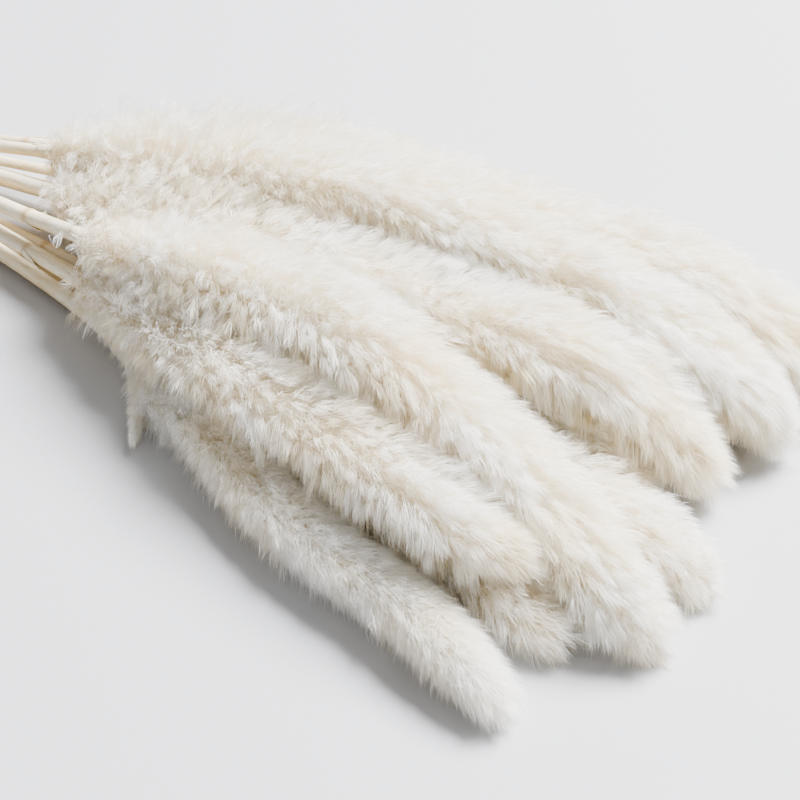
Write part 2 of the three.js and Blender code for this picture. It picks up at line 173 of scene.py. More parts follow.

# Hairs: densities are per square millimetre of CAD plume
HAIR_WIDTH = 0.13 * MM
HAIR_TAPER = 0.9  # width of a hair's middle, per width of its root
HAIR_CORNERS = 5
HAIR_FACES = (0, 1, 3, 2, 2, 3, 4)  # corners of its quad and its triangle
HAIR_FACE_STARTS = (0, 4)
HAIR_UV = ((0.1, 0.1), (0.9, 0.1), (0.9, 0.5), (0.1, 0.5), (0.1, 0.5), (0.9, 0.5), (0.5, 0.9))
TUFT_HAIRS = 3.1
TUFT_HAIRS_LEAST = 8  # in one tuft
TUFT_HAIR_WIDTHS = (0.6, 1.15)
TUFT_HAIR_START = (0, 0.6)  # where along a tuft its hairs root
TUFT_HAIR_LENGTHS = (0.6, 1.08)
TUFT_HAIR_MORE = 1.2 * MM  # how much longer each is
TUFT_THICK = 0.35 * MM  # how far beside the tuft's line they root
TUFT_SPREAD = (0.04, 0.24)  # how far they lean aside, per length
TUFT_WISPS = {"share": 0.1, "more": (0.1, 0.4)}  # hairs that lean further
TUFT_BULGE = 0.8  # how much of that lean a hair has halfway
TUFT_CLOSE = (0.3, 1.0)  # and how much at its end
TUFT_WEIGHT = 0.12  # how far a hair's end hangs, per length
TUFT_TONES = 0.14  # spread of the tone from tuft to tuft
HAIR_TONES = 0.1  # and from hair to hair
DOWN_HAIRS = 2.0  # the short ones that fill the plume under its tufts
DOWN_WIDTHS = (0.7, 1.2)
DOWN_ROOTS = (0.3, 0.65)  # how far out they root, per radius of the CAD plume
DOWN_TIPS = (0.8, 1.12)  # and how far out they end
DOWN_REACH = (5 * MM, 9 * MM)  # how far they run along the plume
DOWN_SHORT = 8 * MM  # how far before the plume's end the last ones root
DOWN_BEND = {"along": 0.45, "out": 0.6}  # where the middle of such a hair is
DOWN_TURNS = (0.1, 0.2)  # spread of the turns of its middle and its tip
DOWN_TONES = 0.2

# Tie
TWINE = 2.0 * MM
TIE_TURNS = 3
TIE_PITCH = 1.9 * MM  # from each turn to the next
SEAT_GAP = 0.3 * MM  # between the stems and the twine
LOOP_ANGLES = 160  # directions in which the outermost stem is looked for
LOOP_POINTS = 48
STRAND = 0.56 * MM  # radius of each of the strands
STRANDS = 3
STRAND_SIDES = 8
STRAND_STEP = 0.5 * MM
TWIST = 5.5 * MM  # length in which the strands go round once
TWIST_STEP = 0.4 * MM
TWINE_UP = (1, 0, 0)  # a direction that the loop never runs in
KNOT = (2.0 * MM, 1.7 * MM, 1.0 * MM)  # its size along the stems, across them and upwards
KNOT_POINTS = 40
KNOT_UP = (0.3, 0.2, 1)  # a direction that the knot never runs in
LOOSE_END = 13 * MM
LOOSE_SPREAD = 7 * MM  # how far each loose end turns aside
# The loose ends' route, as shares of their length, of their spread and of the knot's height
LOOSE_ROUTE = ((0.02, 0.02, 0), (0.4, 0.3, 0.7), (0.75, 0.7, 1.1), (1, 1, 0.9))
FRAY_COUNT = 700  # fibres along the twine
FRAY_PLACE = 0.35 * MM  # spread of where they root
FRAY_OUT = 0.42  # how far from the twine's middle line they root, per diameter
FRAY_LENGTHS = (0.8 * MM, 2.6 * MM)
FRAY_WIDTHS = (0.6, 1.2)
FRAY_BEND = 0.15  # per length
BRUSH_COUNT = 90  # fibres at a cut end
BRUSH_PLACE = 0.3 * MM  # spread of where those root
BRUSH_SPREAD = 0.35  # of their directions
BRUSH_LENGTHS = (2 * MM, 6 * MM)

# Camera, as it stood for the photograph
CAMERA_AT = Vector((0.3347, -0.3045, 0.305))
CAMERA_AZIMUTH = math.radians(36)  # from +Y towards -X
CAMERA_DOWN = math.radians(39)
CAMERA_LENS = 72
CAMERA_SENSOR = 36  # millimetres, as the lens is
CAMERA_NEAREST = 0.01

# Light
LIGHT_AIM = Vector((0.05, 0, 0))
KEY_FROM = {"right": 0.95, "away": 0.45, "up": 1.42}
KEY_SIZE = 0.9
KEY_POWER = 258
KEY_COLOUR = (0.985, 0.99, 1.0)
SKY = 0.6  # strength of the world light
SKY_COLOUR = (1.0, 0.99, 0.965)
FLOOR_SIZE = 6

# Colours: a list of pairs is a ramp of places from 0 to 1 with their colours
WHITE = (1, 1, 1)
BLEACH = 0.64  # how white the hair is at a plume's sides, from 0, golden, to 1
FRONT_BLEACH_AND_PAINTED_LIGHT = 0.95  # the same on the front plume, much whiter as painted light, standing in for the full light on it
TOP_PAINTED_LIGHT = 0.38  # painted light and shade: how much whiter the hair is on a plume's upper side, and more golden on its underside
# Painted shade: silk hair turns tan deep in a plume, where its crevices lie in shade, and stays white
# outside
SILK_SHADE_BY_DEPTH = [(0.28, (0.84, 0.71, 0.41)), (0.5, (0.975, 0.952, 0.885)), (0.72, (0.99, 0.99, 0.98))]
# The tone holds painted light as well: low and golden on a plume's underside, high and white on its
# top
SILK_BY_TONE_AND_PAINTED_LIGHT = [(0.05, (0.88, 0.75, 0.44)), (0.4, (0.985, 0.96, 0.89)), (0.65, WHITE)]
SILK_PATCHES = [(0.38, (1.0, 0.96, 0.87)), (0.6, WHITE)]
HUSK_STREAKS = [(0.3, (0.80, 0.68, 0.45)), (0.7, (0.95, 0.89, 0.74))]
CANE_GRAIN = [(0.3, (0.68, 0.58, 0.39)), (0.65, (0.85, 0.79, 0.65))]
CANE_BLOTCHES = [(0.35, (0.97, 0.89, 0.72)), (0.6, WHITE)]
CANE_MARKS = [(0.0, WHITE), (1.0, (0.62, 0.44, 0.24))]
# Painted shade: the stems turn golden on their undersides
CANE_UNDERSIDE_SHADE = [(0.2, (0.86, 0.72, 0.45)), (0.75, WHITE)]
TWINE_FIBRES = [(0.3, (0.33, 0.21, 0.09)), (0.7, (0.62, 0.46, 0.25))]
FLOOR_SPECKS = [(0.3, (0.448175, 0.4531, 0.477725)), (0.7, (0.455, 0.46, 0.485))]


def rng_for(name):
    """A repeatable random source for one piece."""
    return np.random.default_rng([ord(c) for c in name])


def mixed(ends, share):
    """The value between two ends at a share of the way."""
    return ends[0] + (ends[1] - ends[0]) * share


def unit(v):
    return v / np.maximum(np.linalg.norm(v, axis=-1, keepdims=True), TINY)


def distances_along(points):
    """How far along a line of points each of them is."""
    steps = np.linalg.norm(np.diff(points, axis=0), axis=1)
    return np.concatenate([[0], np.cumsum(steps)])


def resampled(places, along, points):
    """The points at other places along the same line."""
    return np.stack([np.interp(places, along, points[:, k]) for k in range(3)], -1)


def corners_of(node):
    """The different corners of a CAD node, in metres."""
    co = np.array([v.co[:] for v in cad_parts[node].data.vertices])
    return np.unique(np.round(co, CORNER_DECIMALS), axis=0)


def stem_rings(node):
    """Middles and radii of a stem's rings, in order, from its corners."""
    co = corners_of(node)
    mid = co[:, 0].mean()
    span = np.ptp(co[:, 0]) / 2
    t = (co[:, 0] - mid) / span
    fits = [np.polyfit(t, co[:, k], STEM_CURVE) for k in (1, 2)]
    slopes = [np.polyval(np.polyder(fit), t) / span for fit in fits]
    places = [np.polyval(fit, t) for fit in fits]
    ahead = co[:, 0].copy()
    for k in (0, 1):
        ahead += slopes[k] * (co[:, 1 + k] - places[k]) / (1 + slopes[0] ** 2 + slopes[1] ** 2)
    order = np.argsort(ahead)
    groups = np.split(order, np.nonzero(np.diff(ahead[order]) > RING_GAP)[0] + 1)
    middles, radii = [], []
    for group in groups:
        ring = co[group]
        middle = ring.mean(0)
        middles.append(middle)
        radii.append(np.linalg.norm(ring - middle, axis=1).max())
    return np.array(middles), np.array(radii)


def plume_middles(node, start):
    """Points along a plume's middle line, from a little after start to a little before its tip."""
    co = corners_of(node)
    places = np.arange(start + PLUME_STEP, co[:, 0].max() - PLUME_STEP / 2, PLUME_STEP)
    middles = []
    for x in places:
        weight = np.exp(-(((co[:, 0] - x) / PLUME_WINDOW) ** 2))
        line = np.polynomial.polynomial.polyfit(co[:, 0] - x, co[:, 1:], 1, w=np.sqrt(weight))
        middles.append([x, *line[0]])
    return np.array(middles)


def smoothed(points):
    """More points, on a smooth curve through the given ones."""
    padded = np.vstack([2 * points[0] - points[1], points, 2 * points[-1] - points[-2]])
    t = np.linspace(0, 1, LINE_DETAIL, endpoint=False)[:, None]
    dense = []
    for i in range(1, len(padded) - 2):
        p0, p1, p2, p3 = padded[i - 1 : i + 3]
        long = np.linalg.norm(p2 - p1)
        m1 = (p2 - p0) / (long + np.linalg.norm(p1 - p0)) * long
        m2 = (p3 - p1) / (np.linalg.norm(p3 - p2) + long) * long
        dense.append(
            (2 * t**3 - 3 * t**2 + 1) * p1
            + (t**3 - 2 * t**2 + t) * m1
            + (-2 * t**3 + 3 * t**2) * p2
            + (t**3 - t**2) * m2
        )
    return np.vstack([*dense, points[-1:]])


class Line:
    """A smooth line through points, with a side and a top direction all along it."""

    def __init__(self, points, up=(0, 0, 1)):
        dense = smoothed(np.asarray(points, float))
        along = distances_along(dense)
        self.length = along[-1]
        self.s = np.linspace(0, self.length, max(2, int(self.length / LINE_STEP)))
        self.p = resampled(self.s, along, dense)
        self.ahead = unit(np.gradient(self.p, axis=0))
        self.side = unit(np.cross(up, self.ahead))
        self.top = np.cross(self.ahead, self.side)

    def axes_at(self, s):
        """Middle point and the three directions at s; past an end, straight on."""
        inside = np.clip(s, 0, self.length)
        ahead = unit(resampled(inside, self.s, self.ahead))
        point = resampled(inside, self.s, self.p) + ahead * (s - inside)[..., None]
        side, top = (resampled(inside, self.s, way) for way in (self.side, self.top))
        return point, ahead, side, top

    def at(self, s, turn, out):
        """The point at s along the line, at a turn round it and a distance out from it."""
        s, turn, out = np.broadcast_arrays(s, turn, out)
        point, _, side, top = self.axes_at(s)
        around = np.cos(turn)[..., None] * side + np.sin(turn)[..., None] * top
        return point + out[..., None] * around

    def nearest(self, point):
        return self.s[np.linalg.norm(self.p - point, axis=1).argmin()]


class Head:
    """A plume, or the small side tuft: what hairs grow on."""

    def __init__(self, number, line, base, end, girth, outline, scale=1.0):
        self.number = number
        self.line = line
        self.base = base
        self.end = end
        self.length = end - base
        self.girth = girth
        self.outline = outline
        self.scale = scale
        self.fluff = min(girth + FLUFF * scale, WIDEST) / girth
        self.heap = 0
        self.bleach_and_painted_light = BLEACH
        self.wild = 1 if scale == 1 else 0  # only a whole plume has a loose base

    def radius(self, s):
        """Radius at s, without the fluff."""
        base, widest, narrowing = (self.outline[key] for key in ("base", "widest", "narrowing"))
        share = np.clip((s - self.base) / self.length, 0, 1)
        t = np.clip(share / widest, 0, 1)
        widening = base + (1 - base) * t * t * (3 - 2 * t)
        past = np.clip((share - widest) / (1 - widest), 0, 1)
        late = np.clip((share - 1) / TIP_ROUNDING["length"] + 1, 0, 1)
        rounding = np.sqrt(np.maximum(0, 1 - late ** TIP_ROUNDING["power"]))
        rounding = np.maximum(TIP_ROUNDING["least"], rounding)
        heap = 1 + self.heap * np.exp(-(((share - HEAP["share"]) / HEAP["width"]) ** 2))
        return self.girth * widening * (1 - narrowing * past) * rounding * heap

    def outside(self, s):
        """Radius that its tufts reach at s."""
        return self.fluff * self.radius(s)

    def looseness(self, s):
        """How loosely the tufts stand at s, from 1 at the base of a plume to 0."""
        return self.wild * np.clip(1 - (s - self.base) / (LOOSE_SHARE * self.length), 0, 1)

    def hair_count(self, density):
        return int(density * WHOLE_TURN * self.girth * self.length / MM**2)


class Culm:
    """One stem with its plume, as measured on the CAD nodes."""

    def __init__(self, number):
        self.number = f"{number:02d}"
        self.plume_node = "plume_" + self.number
        self.stem_node = "stem_" + self.number
        self.is_front = number == FRONT
        middles, self.ring_radii = stem_rings(self.stem_node)
        beyond = plume_middles(self.plume_node, middles[-1][0])
        tip = corners_of(self.plume_node)
        tip = tip[tip[:, 0].argmax()]
        last = tip * TIP_PULL + beyond[-1] * (1 - TIP_PULL)
        self.line = Line(np.vstack([middles, beyond, [last]]))
        self.ring_s = np.array([self.line.nearest(m) for m in middles])
        self.base = self.ring_s[-1]
        self.radius = np.median(self.ring_radii)
        self.head = self.make_head(tip, number in PILE)

    def make_head(self, tip, in_pile):
        """The plume's head, which ends level with the CAD plume's tip."""
        foot, ahead, _, _ = self.line.axes_at(np.array([self.line.length]))
        end = self.line.length + max((tip - foot[0]) @ ahead[0], 0)
        outline = FRONT_OUTLINE if self.is_front else PILE_OUTLINE if in_pile else OUTLINE
        start = self.base - FRONT_EARLY if self.is_front else self.base
        head = Head(self.number, self.line, start, end, self.measure_girth(), outline)
        if self.is_front:
            head.fluff = 1 + FRONT_FLUFF / head.girth
            # painted light: the front plume is made much whiter, standing in for the light on it
            head.bleach_and_painted_light = FRONT_BLEACH_AND_PAINTED_LIGHT
        if in_pile:
            head.heap = HEAP["more"]
        return head

    def measure_girth(self):
        """The plume's widest radius."""
        co = corners_of(self.plume_node)[::GIRTH_EVERY]
        dist = np.array([np.linalg.norm(self.line.p - c, axis=1).min() for c in co])
        return np.percentile(dist, GIRTH_PERCENT)

    def joints(self):
        """Where the stem's joints are, along its line."""
        wide = self.ring_radii[:-COLLAR_RINGS] > self.radius + JOINT_PROUD
        return self.ring_s[:-COLLAR_RINGS][wide]

    def side_tuft(self):
        """The small tuft that droops from the lowest branchlet, down to the surface."""
        fork = self.line.axes_at(np.array([self.base + SIDE_TUFT["after"]]))[0][0]
        share = np.linspace(0, 1, SIDE_POINTS)[:, None]
        heading = np.array([math.cos(SIDE_TUFT["heading"]), math.sin(SIDE_TUFT["heading"]), 0])
        points = fork + heading * SIDE_TUFT["length"] * share
        points[:, 2:] = np.maximum(SIDE_HEIGHT, fork[2] * (1 - share / SIDE_LANDS))
        line = Line(points)
        girth = SIDE_TUFT["radius"]
        return Head(self.number + "b", line, 0, line.length, girth, SIDE_OUTLINE, SIDE_SCALE)


def put_on(name, mesh, material):
    """The object of a finished mesh, in the scene and with its material."""
    mesh.materials.append(material)
    obj = bpy.data.objects.new(name, mesh)
    bpy.context.scene.collection.objects.link(obj)
    return obj


def add_values(mesh, key, values):
    """Gives each corner of a mesh a value that its material can read."""
    layer = mesh.attributes.new(key, "FLOAT", "POINT")
    layer.data.foreach_set("value", values.astype(np.float32).ravel())


def ribbons(name, hairs, width, values, material, rng):
    """Hairs as bent, pointed ribbons: a quad from root to middle and a triangle to the tip.

    hairs: their roots, middles and tips. values: for each attribute, its value at those three.
    """
    root, middle, tip = hairs
    count = len(root)
    lie = unit(np.cross(tip - root, rng.normal(size=(count, 3))))
    wide = lie * (width / 2)[:, None]
    narrow = wide * HAIR_TAPER
    corners = np.stack([root - wide, root + wide, middle - narrow, middle + narrow, tip], 1)
    corners[..., 2] = np.maximum(corners[..., 2], FLOOR_GAP)
    number = np.arange(count, dtype=np.int32)[:, None]
    mesh = bpy.data.meshes.new(name)
    mesh.vertices.add(HAIR_CORNERS * count)
    mesh.vertices.foreach_set("co", corners.astype(np.float32).ravel())
    mesh.loops.add(len(HAIR_FACES) * count)
    loops = HAIR_CORNERS * number + np.array(HAIR_FACES, dtype=np.int32)
    mesh.loops.foreach_set("vertex_index", loops.ravel())
    mesh.polygons.add(len(HAIR_FACE_STARTS) * count)
    starts = len(HAIR_FACES) * number + np.array(HAIR_FACE_STARTS, dtype=np.int32)
    mesh.polygons.foreach_set("loop_start", starts.ravel())
    mesh.polygons.foreach_set("use_smooth", np.ones(len(HAIR_FACE_STARTS) * count, bool))
    mesh.update(calc_edges=True)
    for key, (low, mid, high) in values.items():
        add_values(mesh, key, np.stack([low, low, mid, mid, high], 1))
    grid = math.ceil(math.sqrt(count))
    cell = np.concatenate([number % grid, number // grid], 1)[:, None]
    uv = mesh.uv_layers.new(name="OFBake")
    uv.data.foreach_set("uv", ((cell + np.array(HAIR_UV)) / grid).astype(np.float32).ravel())
    return put_on(name, mesh, material)


def ring_faces(count, sides, first):
    """Faces between neighbouring rings, and over both ends."""
    faces = []
    for i in range(count - 1):
        for k in range(sides):
            a, b = first + i * sides + k, first + i * sides + (k + 1) % sides
            faces.append([a, b, b + sides, a + sides])
    last = first + (count - 1) * sides
    faces.append([first + k for k in range(sides)][::-1])
    faces.append([last + k for k in range(sides)])
    return faces


def ring_bodies(name, bodies, material):
    """One object of closed bodies, each made from rings of points."""
    corners, faces, first = [], [], 0
    for rings in bodies:
        corners.append(rings.reshape(-1, 3))
        faces += ring_faces(*rings.shape[:2], first)
        first += rings.shape[0] * rings.shape[1]
    corners = np.vstack(corners)
    corners[:, 2] = np.maximum(corners[:, 2], FLOOR_GAP)
    mesh = bpy.data.meshes.new(name)
    mesh.from_pydata(corners.tolist(), [], faces)
    mesh.polygons.foreach_set("use_smooth", [True] * len(mesh.polygons))
    mesh.update()
    return put_on(name, mesh, material)


def tube(line, s, radius, sides=STEM_SIDES):
    """The rings of a round tube along a line: radius may differ along it and round it."""
    turns = np.linspace(0, WHOLE_TURN, sides, endpoint=False)
    return line.at(s[:, None], turns[None, :], np.broadcast_to(radius, (len(s), sides)))


def node(tree, kind, **values):
    """A shader node; each value goes to its input of that name, or else to its setting."""
    made = tree.nodes.new(kind)
    for key, value in values.items():
        if key in made.inputs:
            made.inputs[key].default_value = value
        else:
            setattr(made, key, value)
    return made


def attribute(tree, name):
    """The value that a mesh carries under a name."""
    return node(tree, "ShaderNodeAttribute", attribute_name=name).outputs["Fac"]


def ramp(tree, source, stops):
    """Colours along a value from 0 to 1: stops are pairs of place and colour."""
    made = tree.nodes.new("ShaderNodeValToRGB")
    elements = made.color_ramp.elements
    while len(elements) < len(stops):
        elements.new(0.5)
    for element, (place, colour) in zip(elements, stops):
        element.position = place
        element.color = (*colour, 1)
    tree.links.new(source, made.inputs["Fac"])
    return made.outputs["Color"]


def noise(tree, scale, stretch=(1, 1, 1)):
    """A noise value over the piece; stretch squeezes it along an axis."""
    where = tree.nodes.new("ShaderNodeTexCoord")
    mapping = node(tree, "ShaderNodeMapping", Scale=stretch)
    made = node(tree, "ShaderNodeTexNoise", Scale=scale, Detail=3.0)
    tree.links.new(where.outputs["Object"], mapping.inputs["Vector"])
    tree.links.new(mapping.outputs["Vector"], made.inputs["Vector"])
    return made.outputs["Fac"]


def multiplied(tree, first, second):
    made = node(tree, "ShaderNodeMix", data_type="RGBA", blend_type="MULTIPLY", Factor=1.0)
    tree.links.new(first, made.inputs["A"])
    tree.links.new(second, made.inputs["B"])
    return made.outputs["Result"]


def new_material(name, roughness, specular):
    mat = bpy.data.materials.new(name)
    mat.use_nodes = True
    shader = mat.node_tree.nodes["Principled BSDF"]
    shader.inputs["Roughness"].default_value = roughness
    shader.inputs["Specular IOR Level"].default_value = specular
    return mat, mat.node_tree, shader


def coloured(tree, shader, colour):
    tree.links.new(colour, shader.inputs["Base Color"])


def bumped(tree, shader, height, strength, depth):
    bump = node(tree, "ShaderNodeBump", Strength=strength, Distance=depth)
    tree.links.new(height, bump.inputs["Height"])
    tree.links.new(bump.outputs["Normal"], shader.inputs["Normal"])


def seen_through(tree, shader, colour, share):
    """Lets a share of the light through, in that colour."""
    through = tree.nodes.new("ShaderNodeBsdfTranslucent")
    tree.links.new(colour, through.inputs["Color"])
    mix = node(tree, "ShaderNodeMixShader", Fac=share)
    tree.links.new(shader.outputs["BSDF"], mix.inputs[1])
    tree.links.new(through.outputs["BSDF"], mix.inputs[2])
    tree.links.new(mix.outputs["Shader"], tree.nodes["Material Output"].inputs["Surface"])


def silk_material():
    """Bleached silky hair with painted shade and light: tan deep in the plume, white outside, whiter
    on top and golden underneath, with warmer patches.
    """
    mat, tree, shader = new_material("silk", roughness=0.5, specular=0.3)
    # painted shade: the deeper a hair lies in the plume, the more tan it is
    body = ramp(tree, attribute(tree, "depth"), SILK_SHADE_BY_DEPTH)
    # painted light: the tone is whiter on top of a plume and more golden underneath
    tint_and_painted_light = ramp(tree, attribute(tree, "tone_and_painted_light"), SILK_BY_TONE_AND_PAINTED_LIGHT)
    patches = ramp(tree, noise(tree, scale=38.0), SILK_PATCHES)
    colour = multiplied(tree, multiplied(tree, body, tint_and_painted_light), patches)
    coloured(tree, shader, colour)
    seen_through(tree, shader, colour, share=0.5)
    return mat


def husk_material():
    """Papery sheaths, and the husks in the middle of a plume."""
    mat, tree, shader = new_material("husk", roughness=0.7, specular=0.3)
    streaks = noise(tree, scale=900.0, stretch=(0.06, 1, 1))
    colour = ramp(tree, streaks, HUSK_STREAKS)
    coloured(tree, shader, colour)
    bumped(tree, shader, streaks, strength=0.5, depth=0.2 * MM)
    seen_through(tree, shader, colour, share=0.25)
    return mat


def cane_material():
    """Smooth pale cane with a faint lengthwise grain, darker at its joints and in its pith, and
    golden with painted shade on its underside.
    """
    mat, tree, shader = new_material("cane", roughness=0.5, specular=0.35)
    grain = noise(tree, scale=1500.0, stretch=(0.02, 1, 1))
    blotches = noise(tree, scale=60.0, stretch=(0.4, 1, 1))
    body = multiplied(tree, ramp(tree, grain, CANE_GRAIN), ramp(tree, blotches, CANE_BLOTCHES))
    marks = ramp(tree, attribute(tree, "mark"), CANE_MARKS)
    # painted shade: golden where the stem faces down
    painted_underside_shade = ramp(tree, attribute(tree, "upward"), CANE_UNDERSIDE_SHADE)
    coloured(tree, shader, multiplied(tree, body, multiplied(tree, marks, painted_underside_shade)))
    bumped(tree, shader, grain, strength=0.8, depth=0.1 * MM)
    return mat


def twine_material():
    """Brown fibrous twine."""
    mat, tree, shader = new_material("twine", roughness=0.85, specular=0.2)
    fibres = noise(tree, scale=2600.0)
    coloured(tree, shader, ramp(tree, fibres, TWINE_FIBRES))
    bumped(tree, shader, fibres, strength=0.8, depth=0.2 * MM)
    return mat


def floor_material():
    """A pale, faintly speckled surface."""
    mat, tree, shader = new_material("floor", roughness=0.6, specular=0.3)
    coloured(tree, shader, ramp(tree, noise(tree, scale=700.0), FLOOR_SPECKS))
    return mat


def build_stem(culm, material):
    """A cane with joints and a faint grain, and a cut end with its pith sunk in."""
    rng = rng_for("cane" + culm.number)
    s = np.arange(culm.ring_s[0], culm.base, STEM_STEP)
    near = np.exp(-(((s[:, None] - culm.joints()[None]) / JOINT_REACH) ** 2)).sum(1)
    collar = np.interp(s, culm.ring_s[-COLLAR_RINGS:], culm.ring_radii[-COLLAR_RINGS:])
    collar = np.where(s < culm.ring_s[-COLLAR_RINGS], culm.radius, collar)
    grooves = 1 + GRAIN * rng.normal(size=STEM_SIDES)
    radius = (collar + JOINT_SWELL * near)[:, None] * grooves[None]
    depths, shares = np.array(PITH).T
    pith_s = culm.ring_s[0] + HOLLOW_DEPTH * depths
    pith_radius = culm.radius * HOLLOW * shares
    pith = tube(culm.line, pith_s, pith_radius[:, None])
    rings = np.vstack([pith, tube(culm.line, s, radius)])
    obj = ring_bodies("cane_" + culm.number, [rings], material)
    marks = np.concatenate([np.full(len(PITH), PITH_MARK), near * rng.uniform(*JOINT_MARK)])
    add_values(obj.data, "mark", np.repeat(marks, STEM_SIDES))
    # how far each corner faces up, for the painted shade on the stem's underside
    upward = np.sin(np.linspace(0, WHOLE_TURN, STEM_SIDES, endpoint=False))
    add_values(obj.data, "upward", np.tile(upward / 2 + 0.5, len(rings)))
    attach(obj, "root")
    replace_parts(obj, culm.stem_node)


def sheath(culm, start, length, turn, span, flare, rng):
    """A thin pointed leaf remnant round the stem: its rings run along it and across its edges."""
    t = np.linspace(0, 1, SHEATH_ROWS)[:, None]
    across = np.linspace(-1, 1, SHEATH_COLUMNS)[None]
    ragged = np.clip(1 + SHEATH_RAGGED * rng.normal(size=(SHEATH_ROWS, 1)), *SHEATH_RAGGED_LIMITS)
    half = span / 2 * (1 - t**SHEATH_POINT * SHEATH_NARROWING) * ragged
    s = start + length * t
    turns = turn + half * across
    crumple = SHEATH_CRUMPLE * t * rng.normal(size=(SHEATH_ROWS, SHEATH_COLUMNS))
    out = culm.radius + SHEATH_OFF + flare * t**SHEATH_OPENING + crumple
    outer = culm.line.at(s, turns, out + SHEATH_THICK)
    inner = culm.line.at(s, turns, out)
    return np.concatenate([outer, inner[:, ::-1]], 1)


def build_sheaths(culm, material):
    """The remains of leaf sheaths, at the joints and under the plume."""
    rng = rng_for("sheath" + culm.number)
    bodies = []
    for joint in culm.joints():
        length = rng.uniform(*BRACT["length"])
        turn = rng.uniform(0, WHOLE_TURN)
        span = rng.uniform(*BRACT["span"])
        flare = rng.uniform(*BRACT["flare"])
        bodies.append(sheath(culm, joint, length, turn, span, flare, rng))
    for k in range(FRONT_COLLAR_LEAVES if culm.is_front else COLLAR_LEAVES):
        length = rng.uniform(*COLLAR_LEAF["length"])
        start = culm.base - length * rng.uniform(*COLLAR_LEAF["below"])
        flare = rng.uniform(*COLLAR_LEAF["flare"])
        turn = COLLAR_LEAF_TURN * k + rng.uniform(0, 1)
        bodies.append(sheath(culm, start, length, turn, COLLAR_LEAF_SPAN, flare, rng))
    obj = ring_bodies("sheath_" + culm.number, bodies, material)
    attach(obj, "root")


def tuft_places(head, rng):
    """Where a plume's tufts root: s and turns, and u, from 0 to 1 along their branchlets.

    A row of each is a branchlet; the last value is how far each branchlet curls.
    """
    usable = head.length - BRANCH_MARGIN * head.scale
    count = int(usable / (BRANCH_PITCH * head.scale))
    place = (np.arange(count) + rng.uniform(*BRANCH_PLACE, count)) / count
    s_root = head.base - BRANCH_BEHIND * head.scale + usable * place
    turn = GOLDEN_TURN * np.arange(count) + rng.normal(0, BRANCH_TURN, count)
    left = np.clip((head.end - s_root) / head.length, 0, 1)
    length = BRANCH_LENGTH * head.scale * mixed((BRANCH_LAST, 1), left**BRANCH_SHORTENING)
    length *= rng.uniform(*BRANCH_LENGTHS, count)
    u = (np.arange(TUFTS_ON_BRANCH) + 0.5) / TUFTS_ON_BRANCH
    u = np.clip(u[None] + rng.normal(0, TUFT_PLACE, (count, TUFTS_ON_BRANCH)), TUFT_FIRST, 1)
    s = s_root[:, None] + length[:, None] * u * BRANCH_LEAN
    s = np.minimum(s, head.end - head.scale * rng.uniform(*END_TUFTS, s.shape))
    hand = np.where(np.arange(TUFTS_ON_BRANCH) % 2, 1, -1)[None]
    curl = rng.normal(0, BRANCH_CURL, (count, 1))
    aside = TUFT_SIDE * hand * mixed((1, TUFT_SIDE_END), u) * rng.uniform(*TUFT_SIDES, s.shape)
    return s, turn[:, None] + aside + curl * u, u, curl


def strays(turns, loose, rng):
    """How much further out each tuft reaches: more than 1 for the few that stick out."""
    picked = rng.random(turns.shape) < STRAY["share"] + STRAY_LOOSE["share"] * loose
    allowed = (np.sin(turns) < STRAY["below"]) | (loose > STRAY_LOOSE["from"])
    more = (STRAY["more"] + STRAY_LOOSE["more"] * loose) * rng.random(turns.shape)
    return np.where(picked & allowed, STRAY["out"] + more, 1)


def tufts_of(head, rng):
    """Roots and tips of a plume's tufts, and their traits.

    Traits: the depths of root and tip in the plume, from 0 to about 1, and their painted light, high
    on top and low underneath, lowered further at a loose base.
    """
    s, turns, u, curl = tuft_places(head, rng)
    loose = head.looseness(s)
    reach = TUFT_LENGTH * head.scale * rng.uniform(*TUFT_LENGTHS, s.shape) * mixed(TUFT_GROWTH, u)
    rise = rng.uniform(*TUFT_RISE, s.shape) * head.scale + loose * rng.uniform(0, LOOSE_RISE, s.shape)
    rise += DROOP * (1 - np.sin(turns)) / 2
    reach *= 1 + LOOSE_LONGER * loose * rng.random(s.shape)
    vigour = rng.uniform(*BRANCH_VIGOUR, (len(s), 1))
    forward = reach * np.cos(rise)
    outside = head.outside(s + forward)
    tip_out = outside * mixed((TUFT_OUT, 1), vigour * u) * rng.uniform(*TUFT_OUTS, s.shape)
    tip_out *= strays(turns, loose, rng)
    root_out = np.maximum(tip_out - reach * np.sin(rise), TUFT_ROOT * outside)
    past = np.clip((s + forward - head.end) / (TIP_CLOSES * head.scale) + 1, 0, 1)
    shut = 1 - past * rng.uniform(*TIP_FILLS, s.shape)
    root = head.line.at(s, turns, root_out * shut)
    aside = TUFT_CURL * curl + loose * rng.normal(0, LOOSE_TURN, s.shape)
    tip = head.line.at(s + forward, turns + aside, tip_out * shut)
    hang = SAG * head.scale * u**2 * (1 - np.maximum(0, np.sin(turns)))
    root[..., 2] -= SAG_ROOT * hang
    tip[..., 2] -= hang
    # painted light: tufts on top get a whiter tone, those underneath a more golden one
    painted_light_and_base_tint = np.sin(turns) - LOOSE_GOLDEN * loose
    traits = (root_out / outside, np.minimum(tip_out / outside, DEPTH_LIMIT), painted_light_and_base_tint)
    return root.reshape(-1, 3), tip.reshape(-1, 3), [trait.reshape(-1, 1) for trait in traits]


